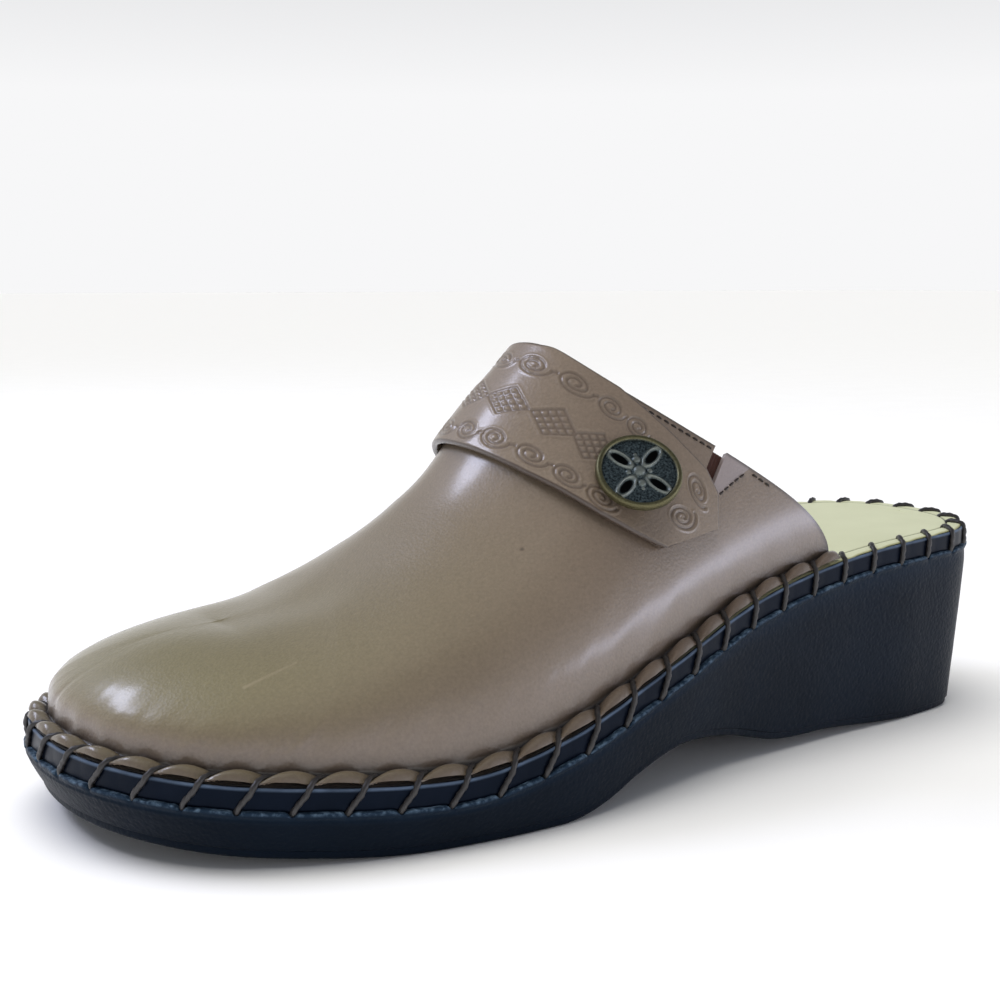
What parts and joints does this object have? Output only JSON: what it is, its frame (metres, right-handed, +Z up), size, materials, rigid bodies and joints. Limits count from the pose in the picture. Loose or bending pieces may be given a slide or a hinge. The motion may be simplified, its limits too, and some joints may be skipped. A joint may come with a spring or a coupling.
{
  "type": "leather mule",
  "caption": "Left leather mule with a closed toe, open heel, whip-stitched welt, moulded wedge sole and a stamped instep strap held by a round pierced metal button.",
  "frame": {"origin": "on the floor under the middle of the sole's length and width", "axes": "+X toward the toe, +Y toward the outer side of this left shoe, +Z up"},
  "size_m": [0.255, 0.1027, 0.1006],
  "materials": {
    "outsole": "matt moulded polyurethane with a fine grain",
    "midsole": "smooth satin",
    "insole": "unfinished cream leather",
    "upper": "smooth leather with a soft pearl shine",
    "gore": "ribbed elastic",
    "strap": "smooth leather, stamped",
    "button": "antique, dark in its recesses"
  },
  "bodies": {
    "root": {"outsole": "outsole", "midsole": "midsole", "insole": "insole", "upper": "upper", "gore": "gore", "strap": "strap", "button": "button"}
  },
  "joints": []
}
